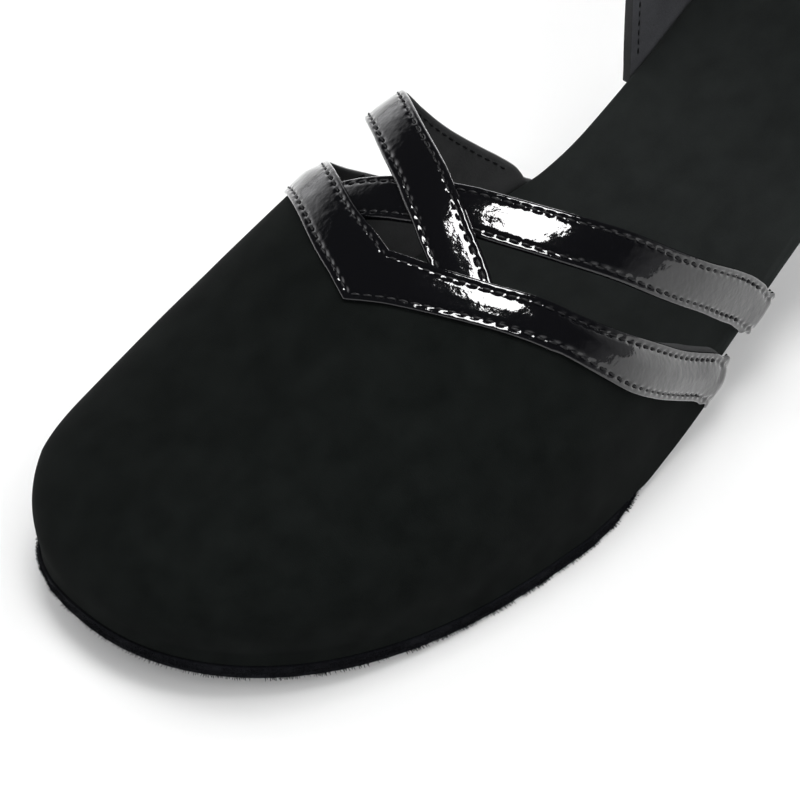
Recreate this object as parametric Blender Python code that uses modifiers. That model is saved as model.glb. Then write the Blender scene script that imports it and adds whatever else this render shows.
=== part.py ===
# Ballroom dance shoe, left foot: closed toe, V throat, two crossing straps, closed heel cup, flared heel.
# Axes: +X to the toe, +Y to the outer side of the foot, +Z up. The ball line is x = 0 and the floor is z = 0.
import math

import bmesh
import bpy
import numpy as np
from mathutils import Vector

mm = 0.001

# Lengths along the foot
toe_reach = 76.5 * mm        # ball line to the end of the toe room
seat_reach = 154.0 * mm      # ball line to the back of the heel seat
breast_reach = 100.0 * mm    # ball line to the front face of the heel
counter_reach = 72.0 * mm    # ball line to the front edges of the heel cup

# Half widths at the feather line, where upper and insole meet
inner_ball = 37.6 * mm
outer_ball = 36.4 * mm
toe_swing = -6.5 * mm        # the toe leans to the inner side
side_bulge = 4.3 * mm        # how far the wall swells past the feather line
bulge_fade = 12.0 * mm       # the swell dies out over this length at the toe
ridge_fade = 60.0 * mm       # and the ridge's lean to the inner side over this one

# Heights
toe_spring = 8.0 * mm
seat_rise = 52.0 * mm
crown_ball = 45.0 * mm       # foot height over the insole at the ball
toe_height = 18.6 * mm
counter_height = 52.0 * mm   # heel cup above the seat, at the back
counter_side = 45.0 * mm     # heel cup above the insole, at its front edges

# Thicknesses and clearances
outsole_thick = 2.7 * mm
insole_thick = 3.0 * mm
vamp_wall = 1.8 * mm
band_thick = 1.2 * mm
strap_thick = 1.4 * mm
strap_width = 9.0 * mm
counter_wall = 2.0 * mm
gap = 0.3 * mm
sole_tuck = 2.6 * mm         # how far the sole's edge lies under the insole at the waist
sole_margin = 0.6 * mm       # sole past the outer face of the upper, round the toe
crossing_lift = 0.9 * mm     # how much higher the upper strap runs over the lower one
shoulder_lift = 1.6 * mm     # how far the upper strap bows off the foot on the inner side
insole_edge = 0.7 * mm       # rounding of the insole's edge, above and below
insole_under = 0.5 * mm
outsole_edge = 0.1 * mm      # the same on the outsole
outsole_under = 0.3 * mm
insole_least = 0.8 * mm      # half width that the soles end in at the toe
outsole_least = 1.2 * mm
band_overhang = 0.28         # share of the band's width that reaches past the vamp's top edge

# Heel
heel_tip_thick = 5.0 * mm
heel_foot_length = 23.0 * mm
heel_foot_width = 24.0 * mm
heel_foot_back = 149.0 * mm  # ball line to the back of the heel on the floor

sole_level = outsole_thick + gap + insole_thick

# Plan sections behind the ball line. Columns: share of seat_reach, share of inner_ball, share of outer_ball,
# share of side_bulge.
plan_behind = (
    (0.000, 1.000, 1.000, 1.00),
    (0.065, 0.975, 0.964, 0.90),
    (0.130, 0.912, 0.908, 0.72),
    (0.195, 0.838, 0.858, 0.52),
    (0.279, 0.750, 0.805, 0.36),
    (0.325, 0.682, 0.780, 0.30),
    (0.390, 0.646, 0.746, 0.25),
    (0.468, 0.638, 0.724, 0.25),
    (0.584, 0.652, 0.724, 0.25),
    (0.682, 0.680, 0.730, 0.25),
    (0.779, 0.690, 0.724, 0.25),
)
seat_round = 2.4             # how square the back of the seat is
# Edge of the outsole against the feather line. Columns: share of seat_reach behind the ball, share of sole_tuck,
# share of the margin that it has round the toe.
waist_tuck = (
    (-0.500, 0.000, 1.000),
    (0.026, 0.000, 1.000),
    (0.104, 0.000, 0.400),
    (0.195, -0.385, 0.000),
    (0.292, -0.923, 0.000),
    (0.650, -1.000, 0.000),
)
toe_round_inner = (2.3, 0.43)
toe_round_outer = (3.0, 0.40)

# Rise of the insole behind the ball. Columns: share of seat_reach, share of seat_rise.
rise_behind = (
    (-0.065, 0.000),
    (0.052, 0.000),
    (0.162, 0.042),
    (0.325, 0.240),
    (0.487, 0.500),
    (0.649, 0.760),
    (0.747, 0.885),
    (0.844, 0.952),
    (1.000, 1.000),
)

# Height of the foot over the insole. Columns: share of toe_reach, share of toe_height, share of crown_ball.
crown_front = (
    (1.00, 0.88, 0.000),
    (0.75, 1.03, 0.000),
    (0.35, 0.48, 0.520),
    (0.00, 0.00, 1.000),
)
# Columns: share of seat_reach, share of crown_ball.
crown_behind = (
    (0.162, 1.211),
    (0.325, 1.400),
    (1.000, 1.600),
)

# Edges of the throat band. Columns: round the section from the inner feather line (0) over the ridge (0.5) to the
# outer feather line (1), then the rear and the front edge as shares of toe_reach.
throat_edges = (
    (0.000, -0.482, -0.377),
    (0.050, -0.374, -0.262),
    (0.100, -0.262, -0.139),
    (0.160, -0.157, -0.029),
    (0.220, -0.090, 0.036),
    (0.280, -0.042, 0.077),
    (0.340, 0.002, 0.122),
    (0.420, 0.064, 0.187),
    (0.500, 0.101, 0.238),
    (0.560, 0.070, 0.183),
    (0.620, 0.021, 0.125),
    (0.680, -0.042, 0.062),
    (0.740, -0.106, 0.000),
    (0.800, -0.178, -0.060),
    (0.860, -0.263, -0.132),
    (0.920, -0.361, -0.229),
    (0.960, -0.440, -0.313),
    (1.000, -0.534, -0.415),
)

# Centre lines of the straps. Columns: round the section as above, share of toe_reach.
outer_strap = (
    (0.395, 0.038),
    (0.440, 0.001),
    (0.500, -0.038),
    (0.570, -0.089),
    (0.650, -0.163),
    (0.730, -0.249),
    (0.800, -0.331),
    (0.870, -0.426),
    (0.940, -0.538),
    (1.000, -0.652),
)
inner_strap = (
    (0.605, 0.055),
    (0.560, 0.018),
    (0.500, -0.030),
    (0.410, -0.106),
    (0.330, -0.175),
    (0.250, -0.236),
    (0.180, -0.298),
    (0.110, -0.378),
    (0.050, -0.464),
    (0.000, -0.558),
)

# Heel cup wall. Columns: share of the wall's height, swell of the sides as a share of side_bulge, swell of the back
# as a share of side_bulge. The front edges have none.
cup_wall = (
    (0.00, 0.00, 0.00),
    (0.12, 0.36, 0.42),
    (0.30, 0.55, 0.72),
    (0.55, 0.30, 0.50),
    (0.80, -0.45, -0.25),
    (1.00, -1.15, -0.95),
)
# Top edge of the heel cup. Columns: way round from a front edge (0) to the back (1), share of the height that the
# wall has there between counter_side and counter_height, then share of counter_side taken off at the front corner.
cup_top = (
    (0.00, 0.00, 0.44),
    (0.03, 0.00, 0.27),
    (0.08, 0.01, 0.11),
    (0.16, 0.03, 0.01),
    (0.24, 0.06, 0.00),
    (0.40, 0.12, 0.00),
    (0.60, 0.32, 0.00),
    (0.80, 0.72, 0.00),
    (0.93, 0.96, 0.00),
    (1.00, 1.00, 0.00),
)

# Heel. Columns: share of the heel's height, then how far the front face, the back and the sides have gone from the
# foot's outline to the seat's.
heel_sections = (
    (0.00, 0.00, 0.00, 0.00),
    (0.10, -0.03, -0.12, -0.08),
    (0.22, -0.05, -0.28, -0.13),
    (0.36, -0.01, -0.34, -0.09),
    (0.52, 0.10, -0.16, 0.06),
    (0.68, 0.29, 0.20, 0.29),
    (0.82, 0.53, 0.58, 0.58),
    (0.93, 0.80, 0.87, 0.86),
    (1.00, 1.00, 1.00, 1.00),
)


def smooth(at, values, x):
    # Monotone cubic through a table, held flat outside it.
    at = np.asarray(at, float)
    values = np.asarray(values, float)
    order = np.argsort(at)
    at = at[order]
    values = values[order]
    step = np.diff(at)
    slope = np.diff(values) / step
    lean = np.zeros(len(at))
    same = slope[:-1] * slope[1:] > 0
    before = 2 * step[1:] + step[:-1]
    after = step[1:] + 2 * step[:-1]
    safe_a = np.where(same, slope[:-1], 1.0)
    safe_b = np.where(same, slope[1:], 1.0)
    lean[1:-1] = np.where(same, (before + after) / (before / safe_a + after / safe_b), 0.0)
    lean[0] = slope[0]
    lean[-1] = slope[-1]
    x = np.clip(np.asarray(x, float), at[0], at[-1])
    i = np.clip(np.searchsorted(at, x, side="right") - 1, 0, len(step) - 1)
    t = (x - at[i]) / step[i]
    h = step[i]
    flat = (2 * t**3 - 3 * t**2 + 1) * values[i] + (3 * t**2 - 2 * t**3) * values[i + 1]
    return flat + h * ((t**3 - 2 * t**2 + t) * lean[i] + (t**3 - t**2) * lean[i + 1])


def column(table, index, size=1.0):
    return np.array([row[index] for row in table]) * size


def rise(x):
    # Height of the insole's top face.
    x = np.asarray(x, float)
    start = -rise_behind[0][0] * seat_reach
    ahead = np.clip((x - start) / (toe_reach - start), 0, None)
    behind = smooth(column(rise_behind, 0, seat_reach), column(rise_behind, 1, seat_rise), -x)
    return sole_level + np.where(x > 0, toe_spring * ahead**2, behind)


def half_width(x, side):
    x = np.asarray(x, float)
    ball = inner_ball if side < 0 else outer_ball
    power, fullness = toe_round_inner if side < 0 else toe_round_outer
    ahead = np.clip(x / toe_reach, 0, 1)
    front = ball * (1 - ahead**power) ** fullness
    last = plan_behind[-1][0] * seat_reach
    behind = smooth(column(plan_behind, 0, seat_reach), column(plan_behind, 1 if side < 0 else 2, ball), -x)
    closing = np.clip((-x - last) / (seat_reach - last), 0, 1)
    return np.where(x > 0, front, behind * (1 - closing**seat_round) ** 0.5)


def centre(x):
    return toe_swing * np.clip(np.asarray(x, float) / toe_reach, 0, 1) ** 2


def bulge(x):
    x = np.asarray(x, float)
    behind = smooth(column(plan_behind, 0, seat_reach), column(plan_behind, 3, side_bulge), -x)
    return behind * np.clip((toe_reach - x) / bulge_fade, 0, 1) ** 0.5


def crown(x):
    x = np.asarray(x, float)
    front = column(crown_front, 1, toe_height) + column(crown_front, 2, crown_ball)
    behind = column(crown_behind, 1, crown_ball)
    at = np.concatenate([column(crown_front, 0, toe_reach), -column(crown_behind, 0, seat_reach)])
    closing = np.clip((x / toe_reach - 0.7) / 0.3, 0, 1)
    return smooth(at, np.concatenate([front, behind]), x) * np.sqrt(np.clip(1 - closing**2.2, 0, 1))


def last(x, way):
    # Point of the foot's surface. way runs 0 to 1 over the section; past either end it goes straight down the
    # insole's edge, and 0.03 of it reaches the outsole.
    x, way = np.broadcast_arrays(np.asarray(x, float), np.asarray(way, float))
    x = np.clip(x, None, toe_reach)
    inside = np.clip(way, 0, 1)
    side = np.where(way < 0.5, -1.0, 1.0)
    turn = np.where(way < 0.5, inside, 1 - inside) * math.pi
    wide = np.where(way < 0.5, half_width(x, -1), half_width(x, 1))
    out = np.abs(np.cos(turn)) ** 0.95
    up = np.abs(np.sin(turn)) ** 0.847
    swell = bulge(x) * np.sin(np.clip(2.2 * turn, 0, math.pi))
    ridge = -0.06 * inner_ball * up * np.clip((toe_reach - x) / ridge_fade, 0, 1)
    y = centre(x) + side * (wide * out + swell) + ridge
    below = np.maximum(-way, way - 1).clip(0) / 0.03
    z = rise(x) + crown(x) * up - below * insole_thick
    return np.stack([x, y, z], -1)


def outward(x, way):
    x, way = np.broadcast_arrays(np.asarray(x, float), np.asarray(way, float))
    ahead = last(np.minimum(x + 0.2 * mm, toe_reach - 1e-6), way) - last(x - 0.2 * mm, way)
    inside = np.clip(way, 0.004, 0.996)
    across = last(x, inside + 0.002) - last(x, inside - 0.002)
    normal = np.cross(ahead, across)
    normal /= np.linalg.norm(normal, axis=-1, keepdims=True) + 1e-12
    middle = np.stack([x, centre(x), rise(x) + insole_thick], -1)
    turn = np.sign(np.sum(normal * (last(x, inside) - middle), -1))[..., None]
    normal = normal * np.where(turn == 0, 1, turn)
    outside = (way < 0) | (way > 1)
    flat = np.stack([normal[..., 0] * 0, np.where(way < 0.5, -1.0, 1.0), normal[..., 0] * 0], -1)
    return np.where(outside[..., None], flat, normal)


def walk(x, way, direction, distance):
    # Goes a distance over the surface, square to a direction given as (dx, dway).
    steps = 6
    for _ in range(steps):
        along_x = (last(x + 0.1 * mm, way) - last(x - 0.1 * mm, way)) / (0.2 * mm)
        along_way = (last(x, way + 0.001) - last(x, way - 0.001)) / 0.002
        heading = along_x * direction[0] + along_way * direction[1]
        square = np.cross(outward(x, way), heading)
        square /= np.linalg.norm(square)
        metric = np.array([[along_x @ along_x, along_x @ along_way], [along_x @ along_way, along_way @ along_way]])
        move = np.linalg.solve(metric, np.array([square @ along_x, square @ along_way]))
        x = x + move[0] * distance / steps
        way = float(np.clip(way + move[1] * distance / steps, -0.03, 1.03))
    return x, way


def make_material(name, colour, roughness, metallic=0.0, coat=0.0):
    material = bpy.data.materials.new(name)
    material.use_nodes = True
    shader = material.node_tree.nodes["Principled BSDF"]
    shader.inputs["Base Color"].default_value = (*colour, 1.0)
    shader.inputs["Roughness"].default_value = roughness
    shader.inputs["Metallic"].default_value = metallic
    shader.inputs["Coat Weight"].default_value = coat
    material.diffuse_color = (*colour, 1.0)
    return material


def make_object(name, bm, material, collection):
    bmesh.ops.remove_doubles(bm, verts=bm.verts, dist=0.00002)
    bmesh.ops.recalc_face_normals(bm, faces=bm.faces)
    mesh = bpy.data.meshes.new(name)
    bm.to_mesh(mesh)
    bm.free()
    mesh.materials.append(material)
    obj = bpy.data.objects.new(name, mesh)
    collection.objects.link(obj)
    return obj


def grid_faces(bm, points):
    # Quads over a grid of points, with no face where two corners fall together.
    rows, columns = points.shape[:2]
    verts = [[bm.verts.new(Vector(points[i, j])) for j in range(columns)] for i in range(rows)]
    for i in range(rows - 1):
        for j in range(columns - 1):
            corners = [verts[i][j], verts[i + 1][j], verts[i + 1][j + 1], verts[i][j + 1]]
            kept = [v for k, v in enumerate(corners) if (v.co - corners[k - 1].co).length > 0.00002]
            if len(kept) > 2:
                bm.faces.new(kept)


def shell(name, points, thickness, material, collection):
    # A sheet of points, thickened away from the foot.
    bm = bmesh.new()
    grid_faces(bm, points)
    obj = make_object(name, bm, material, collection)
    middle = Vector(points.reshape(-1, 3).mean(0)) - Vector((0, 0, 4 * insole_thick))
    facing = sum(face.normal.dot(face.center - middle) * face.area for face in obj.data.polygons)
    if facing < 0:
        obj.data.flip_normals()
    solid = obj.modifiers.new("Wall", "SOLIDIFY")
    solid.thickness = thickness
    solid.offset = 1.0
    solid.use_even_offset = True
    solid.use_rim = True
    return obj


def ladder(name, stations, edges, material, collection):
    # A plate that bends along X only: at each station, a closed section of (y, z) points.
    bm = bmesh.new()
    rings = []
    for x, ring in zip(stations, edges):
        rings.append([bm.verts.new((x, y, z)) for y, z in ring])
    count = len(rings[0])
    for a, b in zip(rings[:-1], rings[1:]):
        for k in range(count):
            bm.faces.new((a[k], a[(k + 1) % count], b[(k + 1) % count], b[k]))
    bm.faces.new(rings[0][::-1])
    bm.faces.new(rings[-1])
    return make_object(name, bm, material, collection)


def plate_section(x, inner, outer, top, thick, edge, tuck):
    # Section of a sole: a soft top edge, a full middle and an underside drawn in by tuck.
    y = centre(x)
    edge = min(edge, 0.3 * (inner + outer))
    tuck = min(tuck, 0.3 * (inner + outer))
    return [
        (y + outer - edge, top),
        (y + outer, top - 0.3 * thick),
        (y + outer, top - 0.55 * thick),
        (y + outer - tuck, top - thick),
        (y - inner + tuck, top - thick),
        (y - inner, top - 0.55 * thick),
        (y - inner, top - 0.3 * thick),
        (y - inner + edge, top),
    ]


def build_insole(material, collection):
    reach = toe_reach - gap
    back = seat_reach - gap
    turns = np.linspace(0.04, 1, 14) * math.pi / 2
    front = reach * np.cos(turns)
    middle = -np.linspace(0.045, 0.725, 16) * seat_reach
    rear_start = 0.766 * seat_reach
    rear = -(rear_start + (back - rear_start) * np.sin(np.linspace(0, 0.965, 10) * math.pi / 2))
    stations = np.concatenate([front, middle, rear])
    sections = []
    for x in stations:
        inner = max(float(half_width(x, -1)) - gap, insole_least)
        outer = max(float(half_width(x, 1)) - gap, insole_least)
        sections.append(plate_section(x, inner, outer, float(rise(x)), insole_thick, insole_edge, insole_under))
    return ladder("insole", stations, sections, material, collection)


def sole_half(x, side):
    # The outsole stands past the upper round the toe and is drawn in under the waist.
    base = float(half_width(min(x, toe_reach), side))
    over = vamp_wall + sole_margin
    drawn = column(waist_tuck, 1, sole_tuck) + column(waist_tuck, 2, over)
    margin = smooth(-column(waist_tuck, 0, seat_reach), drawn, x)
    return base + float(margin)


def build_outsole(material, collection):
    over = vamp_wall + sole_margin
    reach = toe_reach + over
    turns = np.linspace(0.05, 1, 16) * math.pi / 2
    front = reach * np.cos(turns)
    rear = -np.linspace(0, 1, 15)[1:] * (breast_reach - gap)
    rear = np.append(rear, [-0.052 * seat_reach])
    stations = np.concatenate([front[:-1], [0.065 * seat_reach], rear])
    stations = np.array(sorted(set(np.round(stations, 6)), reverse=True))
    sections = []
    for x in stations:
        ahead = max(x, 0) / reach
        if x > 0:
            inner = (inner_ball + over) * (1 - ahead ** toe_round_inner[0]) ** toe_round_inner[1]
            outer = (outer_ball + over) * (1 - ahead ** toe_round_outer[0]) ** toe_round_outer[1]
        else:
            inner = sole_half(x, -1)
            outer = sole_half(x, 1)
        inner = max(inner, outsole_least)
        outer = max(outer, outsole_least)
        # The upper's lower edge stands out past the insole, so the sole turns up a little later at the toe.
        top = float(rise(x - over * ahead**2)) - insole_thick - gap
        sections.append(plate_section(x, inner, outer, top, outsole_thick, outsole_edge, outsole_under))
    return ladder("outsole", stations, sections, material, collection)


def ways_round(count):
    # Columns over the section, closer together low on the sides, with one on the ridge.
    half = np.linspace(0, 1, count // 2 + 1)
    left = 0.5 * (0.55 * half + 0.45 * half**1.6)
    return np.concatenate([left, 1 - left[::-1][1:]])


def throat(way, index):
    # Edge of the band: two smooth arms that meet in a crisp point on the ridge.
    way = np.asarray(way, float)
    inner = [row for row in throat_edges if row[0] <= 0.5]
    outer = [row for row in throat_edges if row[0] >= 0.5]
    a = smooth(column(inner, 0), column(inner, index, toe_reach), np.clip(way, 0, 0.5))
    b = smooth(column(outer, 0), column(outer, index, toe_reach), np.clip(way, 0.5, 1))
    return np.where(way < 0.5, a, b)


def vamp_top(way):
    # Top edge of the vamp, a little forward of the band's rear edge, which reaches past it.
    return throat(way, 1) + band_overhang * (throat(way, 2) - throat(way, 1))


def build_vamp(material, collection):
    ways = np.concatenate([[-0.03], ways_round(36), [1.03]])
    top = vamp_top(ways)
    steps = np.sin(np.linspace(0, 1, 23) * math.pi / 2)
    rows = []
    for step in steps:
        x = top + (toe_reach - top) * step
        rows.append(last(x, ways))
    return shell("vamp", np.array(rows), vamp_wall, material, collection)


def build_band(material, collection):
    ways = np.concatenate([[-0.03], ways_round(36), [1.03]])
    rear = throat(ways, 1)
    front = throat(ways, 2)
    rows = []
    for step in np.linspace(0, 1, 4):
        x = rear + (front - rear) * step
        rows.append(last(x, ways) + outward(x, ways) * (vamp_wall + gap))
    return shell("throat_band", np.array(rows), band_thick, material, collection)


def strap_points(table, lift_at_crossing, lift_at_shoulder, count):
    way_at = column(table, 0)
    x_at = column(table, 1, toe_reach)
    flip = -1.0 if way_at[0] > way_at[-1] else 1.0
    ways = np.linspace(way_at[0], way_at[-1], count)
    ends = [flip * 0.012, flip * 0.03]
    ways = np.concatenate([ways, ways[-1] + np.array(ends)])
    rows = []
    for way in ways:
        x = float(smooth(way_at * flip, x_at, way * flip))
        ahead = float(smooth(way_at * flip, x_at, (way + flip * 0.01) * flip))
        before = float(smooth(way_at * flip, x_at, (way - flip * 0.01) * flip))
        direction = ((ahead - before) / 0.02, flip)
        lift = lift_at_crossing * math.exp(-(((way - 0.5) / 0.042) ** 4))
        lift += lift_at_shoulder * math.exp(-(((way - 0.27) / 0.11) ** 2))
        row = []
        for share in (-0.5, -0.25, 0.0, 0.25, 0.5):
            px, pw = walk(x, float(way), direction, share * strap_width)
            px = min(px, float(vamp_top(pw)) - 2 * gap)
            row.append(last(px, pw) + outward(px, pw) * (gap + lift))
        rows.append(row)
    return np.array(rows)


def build_straps(material, collection):
    low = shell("cross_straps", strap_points(outer_strap, 0.0, 0.0, 30), strap_thick, material, collection)
    high = shell("upper_strap", strap_points(inner_strap, crossing_lift, shoulder_lift, 30), strap_thick, material, collection)
    join = low.modifiers.new("Crossing", "BOOLEAN")
    join.operation = "UNION"
    join.solver = "EXACT"
    join.object = high
    cutters = bpy.data.collections.new("Helpers")
    cutters.hide_render = True
    bpy.context.scene.collection.children.link(cutters)
    collection.objects.unlink(high)
    cutters.objects.link(high)
    high.hide_render = True
    high.display_type = "WIRE"
    return low


def seat_outline(count):
    # Points of the feather line from the inner front edge of the cup round the back to the outer one.
    turns = np.linspace(0, 1, count) * math.pi
    reach = seat_reach - counter_reach
    xs = -counter_reach - reach * np.sin(turns) ** 0.92
    sides = np.where(turns <= math.pi / 2, -1.0, 1.0)
    ys = np.array([side * float(half_width(x, side)) for x, side in zip(xs, sides)])
    ys[np.abs(xs + seat_reach) < 1e-6] = 0.0
    return xs, ys, turns


def build_counter(material, collection):
    xs, ys, turns = seat_outline(49)
    way = 1 - np.abs(turns / math.pi * 2 - 1)
    extra = smooth(column(cup_top, 0), column(cup_top, 1), way)
    corner = smooth(column(cup_top, 0), column(cup_top, 2), way)
    base = rise(xs)
    top = counter_side * (1 - corner) + (counter_height - counter_side) * extra
    ahead = np.stack([np.gradient(xs), np.gradient(ys)], -1)
    normal = np.stack([-ahead[:, 1], ahead[:, 0]], -1)
    normal /= np.linalg.norm(normal, axis=1, keepdims=True)
    normal *= np.sign(np.sum(normal * np.stack([xs + 0.8 * seat_reach, ys], -1), 1, keepdims=True))
    rows = [np.stack([xs, ys, base - insole_thick], -1)]
    for share in np.linspace(0, 1, 13):
        side_swell = float(smooth(column(cup_wall, 0), column(cup_wall, 1, side_bulge), share))
        back_swell = float(smooth(column(cup_wall, 0), column(cup_wall, 2, side_bulge), share))
        swell = (side_swell + (back_swell - side_swell) * way**3) * np.sin(np.clip(way / 0.3, 0, 1) * math.pi / 2)
        x = xs + normal[:, 0] * swell * way
        y = ys + normal[:, 1] * swell
        rows.append(np.stack([x, y, base + share * top], -1))
    return shell("counter", np.array(rows), counter_wall, material, collection)


def heel_outline(front, back, half, turns):
    # Half of a heel's outline, as (x, y), from the corner of its front face round to the middle of its back.
    xs = front + (back - front) * np.sin(turns * math.pi / 2) ** 0.92
    ys = np.array([half(x) for x in xs])
    ys[-1] = 0.0
    return np.stack([xs, ys], -1)


def build_heel(material, tip_material, collection):
    seat_front = -breast_reach
    seat_back = -(seat_reach + counter_wall)
    foot_front = -(heel_foot_back - heel_foot_length)
    foot_back = -heel_foot_back
    turns = np.linspace(0, 1, 13)

    def seat_side(side):
        # The seat carries the cup's wall, so it follows the feather line and the wall outside it.
        def half(x):
            inside = max(x, -seat_reach)
            share = (x - seat_front) / (seat_back - seat_front)
            return (float(half_width(inside, side)) + counter_wall) * (1 - share**14)
        return half

    def foot_half(x):
        share = (x - foot_front) / (foot_back - foot_front)
        corner = 0.86 + 0.14 * math.sin(min(share / 0.25, 1) * math.pi / 2)
        return heel_foot_width / 2 * corner * (1 - share**2.6) ** 0.5

    foot = heel_outline(foot_front, foot_back, foot_half, turns)
    outlines = {}
    for side in (-1, 1):
        seat = heel_outline(seat_front, seat_back, seat_side(side), turns)
        outlines[side] = (foot * (1, side), seat * (1, side))
    floor = heel_tip_thick + gap
    rings = []
    for share, front, back, wide in heel_sections:
        halves = []
        for side in (-1, 1):
            low, high = outlines[side]
            along = (high[:, 0] - seat_front) / (seat_back - seat_front)
            forward = front + (back - front) * along
            x = low[:, 0] + (high[:, 0] - low[:, 0]) * forward
            y = low[:, 1] + (high[:, 1] - low[:, 1]) * wide
            ceiling = rise(np.clip(x, -seat_reach, 0)) - insole_thick - gap
            halves.append(np.stack([x, y, floor + (ceiling - floor) * share], -1))
        breast = np.linspace(halves[1][0], halves[0][0], 7)[1:-1]
        rings.append(np.concatenate([halves[0], halves[1][::-1][1:], breast]))
    count = len(rings[0])
    last_side = len(turns) - 1
    bm = bmesh.new()
    loops = [[bm.verts.new(Vector(p)) for p in ring] for ring in rings]
    for a, b in zip(loops[:-1], loops[1:]):
        for k in range(count):
            bm.faces.new((a[k], a[(k + 1) % count], b[(k + 1) % count], b[k]))
    bm.faces.new(loops[0][::-1])
    # The seat bends along X only, so it is closed by strips that run across it.
    top = loops[-1]
    inner = top[:last_side + 1]
    outer = top[last_side:2 * last_side + 1][::-1]
    bm.faces.new([inner[1], outer[1], outer[0]] + top[2 * last_side + 1:] + [inner[0]])
    for k in range(1, last_side - 1):
        bm.faces.new((inner[k + 1], outer[k + 1], outer[k], inner[k]))
    bm.faces.new((inner[last_side], outer[last_side - 1], inner[last_side - 1]))
    heel = make_object("heel", bm, material, collection)

    bm = bmesh.new()
    low = [bm.verts.new((p[0], p[1], 0.0)) for p in rings[0]]
    high = [bm.verts.new((p[0], p[1], heel_tip_thick)) for p in rings[0]]
    for k in range(count):
        bm.faces.new((low[k], low[(k + 1) % count], high[(k + 1) % count], high[k]))
    bm.faces.new(low[::-1])
    bm.faces.new(high)
    tip = make_object("heel_tip", bm, tip_material, collection)
    return heel, tip


def clear_scene():
    for obj in list(bpy.data.objects):
        bpy.data.objects.remove(obj)


def main():
    clear_scene()
    collection = bpy.data.collections.new("Ballroom dance shoe")
    bpy.context.scene.collection.children.link(collection)
    nubuck = make_material("Black nubuck", (0.012, 0.012, 0.013), 0.85)
    patent = make_material("Black patent", (0.008, 0.008, 0.009), 0.08, coat=1.0)
    suede = make_material("Sole suede", (0.022, 0.024, 0.032), 0.95)
    sock = make_material("Insole cover", (0.022, 0.022, 0.023), 0.8)
    cover = make_material("Heel cover", (0.012, 0.012, 0.013), 0.7)
    rubber = make_material("Heel tip rubber", (0.015, 0.015, 0.015), 0.6)
    build_outsole(suede, collection)
    build_insole(sock, collection)
    build_vamp(nubuck, collection)
    build_band(patent, collection)
    build_straps(patent, collection)
    build_counter(nubuck, collection)
    build_heel(cover, rubber, collection)


main()
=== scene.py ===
# Ballroom dance shoe, left foot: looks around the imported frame.
import math
import random

import bpy
import numpy as np
from mathutils import Matrix, Vector


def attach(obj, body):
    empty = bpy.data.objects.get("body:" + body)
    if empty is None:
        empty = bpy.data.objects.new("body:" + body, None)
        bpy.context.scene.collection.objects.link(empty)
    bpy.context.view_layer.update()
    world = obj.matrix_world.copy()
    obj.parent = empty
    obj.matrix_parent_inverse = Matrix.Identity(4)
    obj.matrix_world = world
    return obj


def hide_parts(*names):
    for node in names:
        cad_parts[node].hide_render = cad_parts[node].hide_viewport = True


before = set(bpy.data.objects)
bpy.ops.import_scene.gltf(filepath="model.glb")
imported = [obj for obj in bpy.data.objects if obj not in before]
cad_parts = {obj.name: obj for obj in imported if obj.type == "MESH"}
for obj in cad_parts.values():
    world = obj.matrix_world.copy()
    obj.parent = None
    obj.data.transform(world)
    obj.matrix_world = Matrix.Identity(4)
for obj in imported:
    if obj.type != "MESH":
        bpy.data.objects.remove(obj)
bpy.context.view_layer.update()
print("frame loaded")

mm = 0.001

# Camera, floor and light

view = {
    "azimuth": 48.97,         # degrees from the toe towards the outer side
    "elevation": 45.06,
    "roll": -1.89,
    "distance": 520 * mm,
    "target": (12.16 * mm, 3.14 * mm, 20.0 * mm),
    "pixelsPerMm": 5.722,
    "pixels": 800,            # across the picture
    "sensor": 36.0,
}

studio = {
    "floorSize": 6.0,
    "floorColour": (0.87, 0.87, 0.87),
    "floorRoughness": 0.9,
    "floorSpecular": 0.1,
    "backdrop": (0.85, 0.85, 0.85),
    "skyLow": (1.45, 1.45, 1.48),
    "skyHigh": (0.030, 0.031, 0.031),
    "skyFade": (0.06, 0.48),  # where low turns to high: z of the direction
    "darkSide": (-0.67, 0.74, 0.0),   # towards the unlit side of the room
    "darkFade": (0.35, 0.80),
    "darkShare": 0.78,
    "aim": (0, 0, 0.03),      # every lamp looks here
    "boxPlace": (0.012, 0.035, 0.9),
    "boxSize": (0.33, 0.46),
    "boxGlow": 11.5,          # this lamp shows in gloss only
    "overheadPower": 7.1,     # this lamp and the fills don't show in gloss
    "fillPowers": (12.4, 9.2, 7.5, 5.9),   # outer side, heel, inner side, toe
    "fillTurn": 45,           # degrees from the camera to the first fill
    "fillDistance": 1.1,
    "fillSize": 1.2,
    "fillHeight": 0.9,
}


def addObject(thing):
    bpy.context.scene.collection.objects.link(thing)


def axesAt(x, y, z, place):
    turn = Matrix((x, y, z)).transposed().to_4x4()
    turn.translation = place
    return turn


def startMaterial(name, colour, roughness, specular):
    material = bpy.data.materials.new(name)
    material.use_nodes = True
    shader = material.node_tree.nodes["Principled BSDF"]
    shader.inputs["Base Color"].default_value = (*colour, 1)
    shader.inputs["Roughness"].default_value = roughness
    shader.inputs["Specular IOR Level"].default_value = specular
    material.diffuse_color = (*colour, 1)
    return material, shader


def addRamp(owner, source, span, low, high):
    # Turns a number into a colour, from low to high over a span.
    ramp = owner.node_tree.nodes.new("ShaderNodeValToRGB")
    for element, at, colour in zip(ramp.color_ramp.elements, span, (low, high)):
        element.position = at
        element.color = (*colour, 1)
    owner.node_tree.links.new(source, ramp.inputs[0])
    return ramp.outputs[0]


def addFade(owner, share, source, colour):
    # Fades a colour towards a fixed one.
    mix = owner.node_tree.nodes.new("ShaderNodeMix")
    mix.data_type = "RGBA"
    mix.inputs[7].default_value = (*colour, 1)
    owner.node_tree.links.new(share, mix.inputs[0])
    owner.node_tree.links.new(source, mix.inputs[6])
    return mix.outputs[2]


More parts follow.
